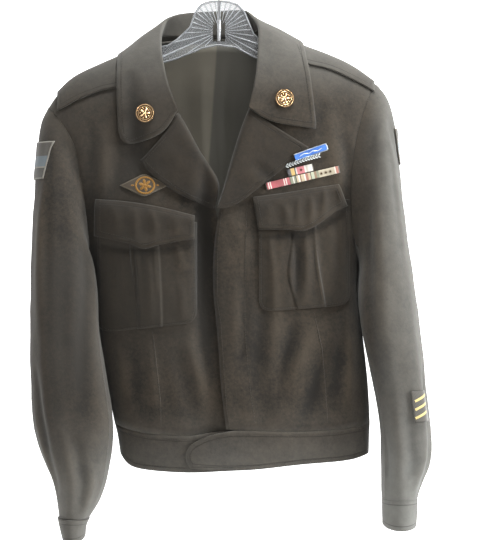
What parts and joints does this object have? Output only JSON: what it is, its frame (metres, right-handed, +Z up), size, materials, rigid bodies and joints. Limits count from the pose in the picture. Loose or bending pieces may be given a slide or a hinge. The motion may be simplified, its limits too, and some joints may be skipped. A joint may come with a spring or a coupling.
{
  "type": "ike jacket on a hanger",
  "caption": "Waist-length wool uniform jacket with open notched collar, flapped patch pockets, waistband and banded cuffs, hung on a clear hanger.",
  "frame": {"origin": "inside crown of the hanger's hook, where a rod or wall hook carries it", "axes": "+X to the wearer's left, -Y the way the jacket's front faces, +Z up along the hook's stem"},
  "size_m": [0.5463, 0.1459, 0.8037],
  "materials": {
    "wool": "brown-olive wool serge, slight nap",
    "wool_faced": "the same serge, doubled and topstitched",
    "lining_cloth": "twill lining, slight sheen",
    "ribbon": "ribbed silk ribbon over a bar",
    "blue_enamel": "enamel on a silver-coloured bar",
    "embroidery": "embroidery on cloth",
    "gilt": "polished gilt brass",
    "steel": "plated steel wire",
    "clear_plastic": "clear moulded plastic"
  },
  "bodies": {
    "root": {"front_left": "wool", "front_right": "wool", "back": "wool", "back_lining": "lining_cloth", "sleeve_top_left": "wool", "sleeve_under_left": "wool", "cuff_left": "wool_faced", "lapel_left": "wool_faced", "waistband_left": "wool_faced", "sleeve_top_right": "wool", "sleeve_under_right": "wool", "cuff_right": "wool_faced", "lapel_right": "wool_faced", "waistband_right": "wool_faced", "waistband_back": "wool_faced", "collar": "wool_faced", "collar_disc_left": "gilt", "collar_disc_right": "gilt", "pocket_left": "wool", "pocket_right": "wool", "flap_left": "wool_faced", "flap_right": "wool_faced", "shoulder_loop_left": "wool_faced", "shoulder_loop_right": "wool_faced", "ribbon_lower": "ribbon", "ribbon_upper": "ribbon", "badge_bar": "blue_enamel", "chest_patch": "embroidery", "shoulder_patch_right": "embroidery", "shoulder_patch_left": "embroidery", "service_bars": "embroidery", "hanger_body": "clear_plastic", "hanger_hook": "steel", "hanger_pin": "steel"}
  },
  "joints": []
}
